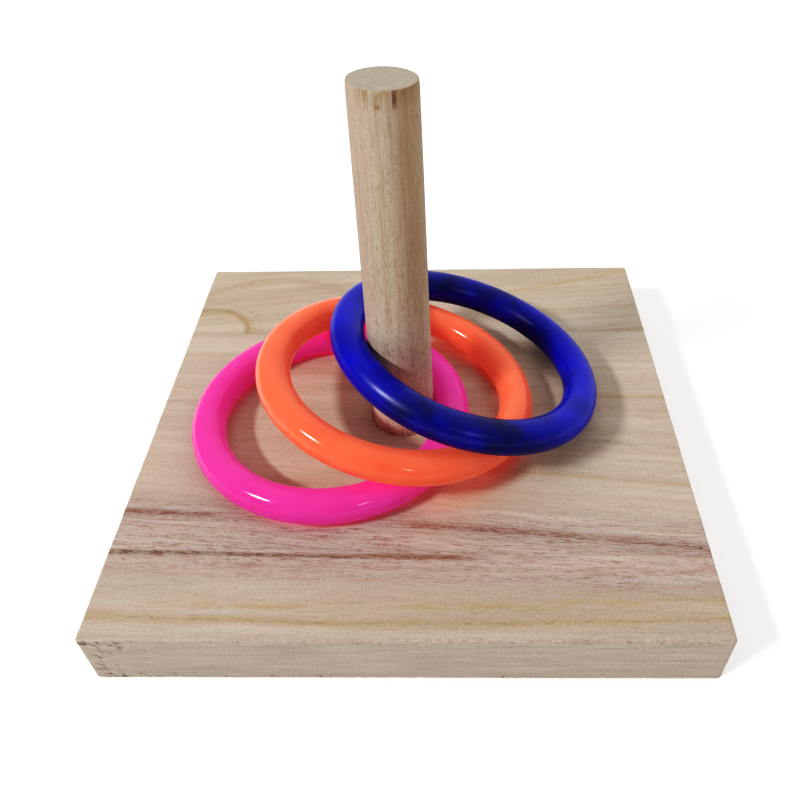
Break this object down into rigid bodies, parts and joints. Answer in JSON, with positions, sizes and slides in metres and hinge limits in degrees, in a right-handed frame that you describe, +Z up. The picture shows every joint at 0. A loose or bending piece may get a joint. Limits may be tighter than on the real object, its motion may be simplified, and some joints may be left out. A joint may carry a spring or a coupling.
{
  "type": "ring and peg game",
  "caption": "Square wooden board with an upright wooden peg and loose plastic rings that lie over the peg and lift off.",
  "frame": {"origin": "centre of the board's underside", "axes": "+Z up along the peg, -Y towards the front edge, +X to the right along the wood's grain"},
  "size_m": [0.1, 0.1, 0.0765],
  "materials": {
    "board_wood": "raw planed paulownia or poplar, sawn edges, unvarnished",
    "peg_wood": "raw turned hardwood dowel, fine pores, unvarnished",
    "dried_glue": "dried wood glue, brownish, slightly shiny",
    "pink_plastic": "moulded, glossy, slightly translucent",
    "orange_plastic": "moulded, glossy, slightly translucent",
    "blue_plastic": "moulded, glossy"
  },
  "bodies": {
    "stand": {"board_main_stave": "board_wood", "board_back_stave": "board_wood", "board_glue_line": "dried_glue", "peg": "peg_wood", "peg_glue": "dried_glue"},
    "pink_ring": {"ring_pink": "pink_plastic"},
    "orange_ring": {"ring_orange": "orange_plastic"},
    "blue_ring": {"ring_blue": "blue_plastic"}
  },
  "joints": [
    {"name": "pink_ring_lift", "type": "slide", "parent": "stand", "child": "pink_ring", "axis": [0, 0, 1], "range_m": [0, 0.07]},
    {"name": "orange_ring_lift", "type": "slide", "parent": "pink_ring", "child": "orange_ring", "axis": [0, 0, 1], "range_m": [0, 0.07]},
    {"name": "blue_ring_lift", "type": "slide", "parent": "orange_ring", "child": "blue_ring", "axis": [0, 0, 1], "range_m": [0, 0.07]}
  ]
}
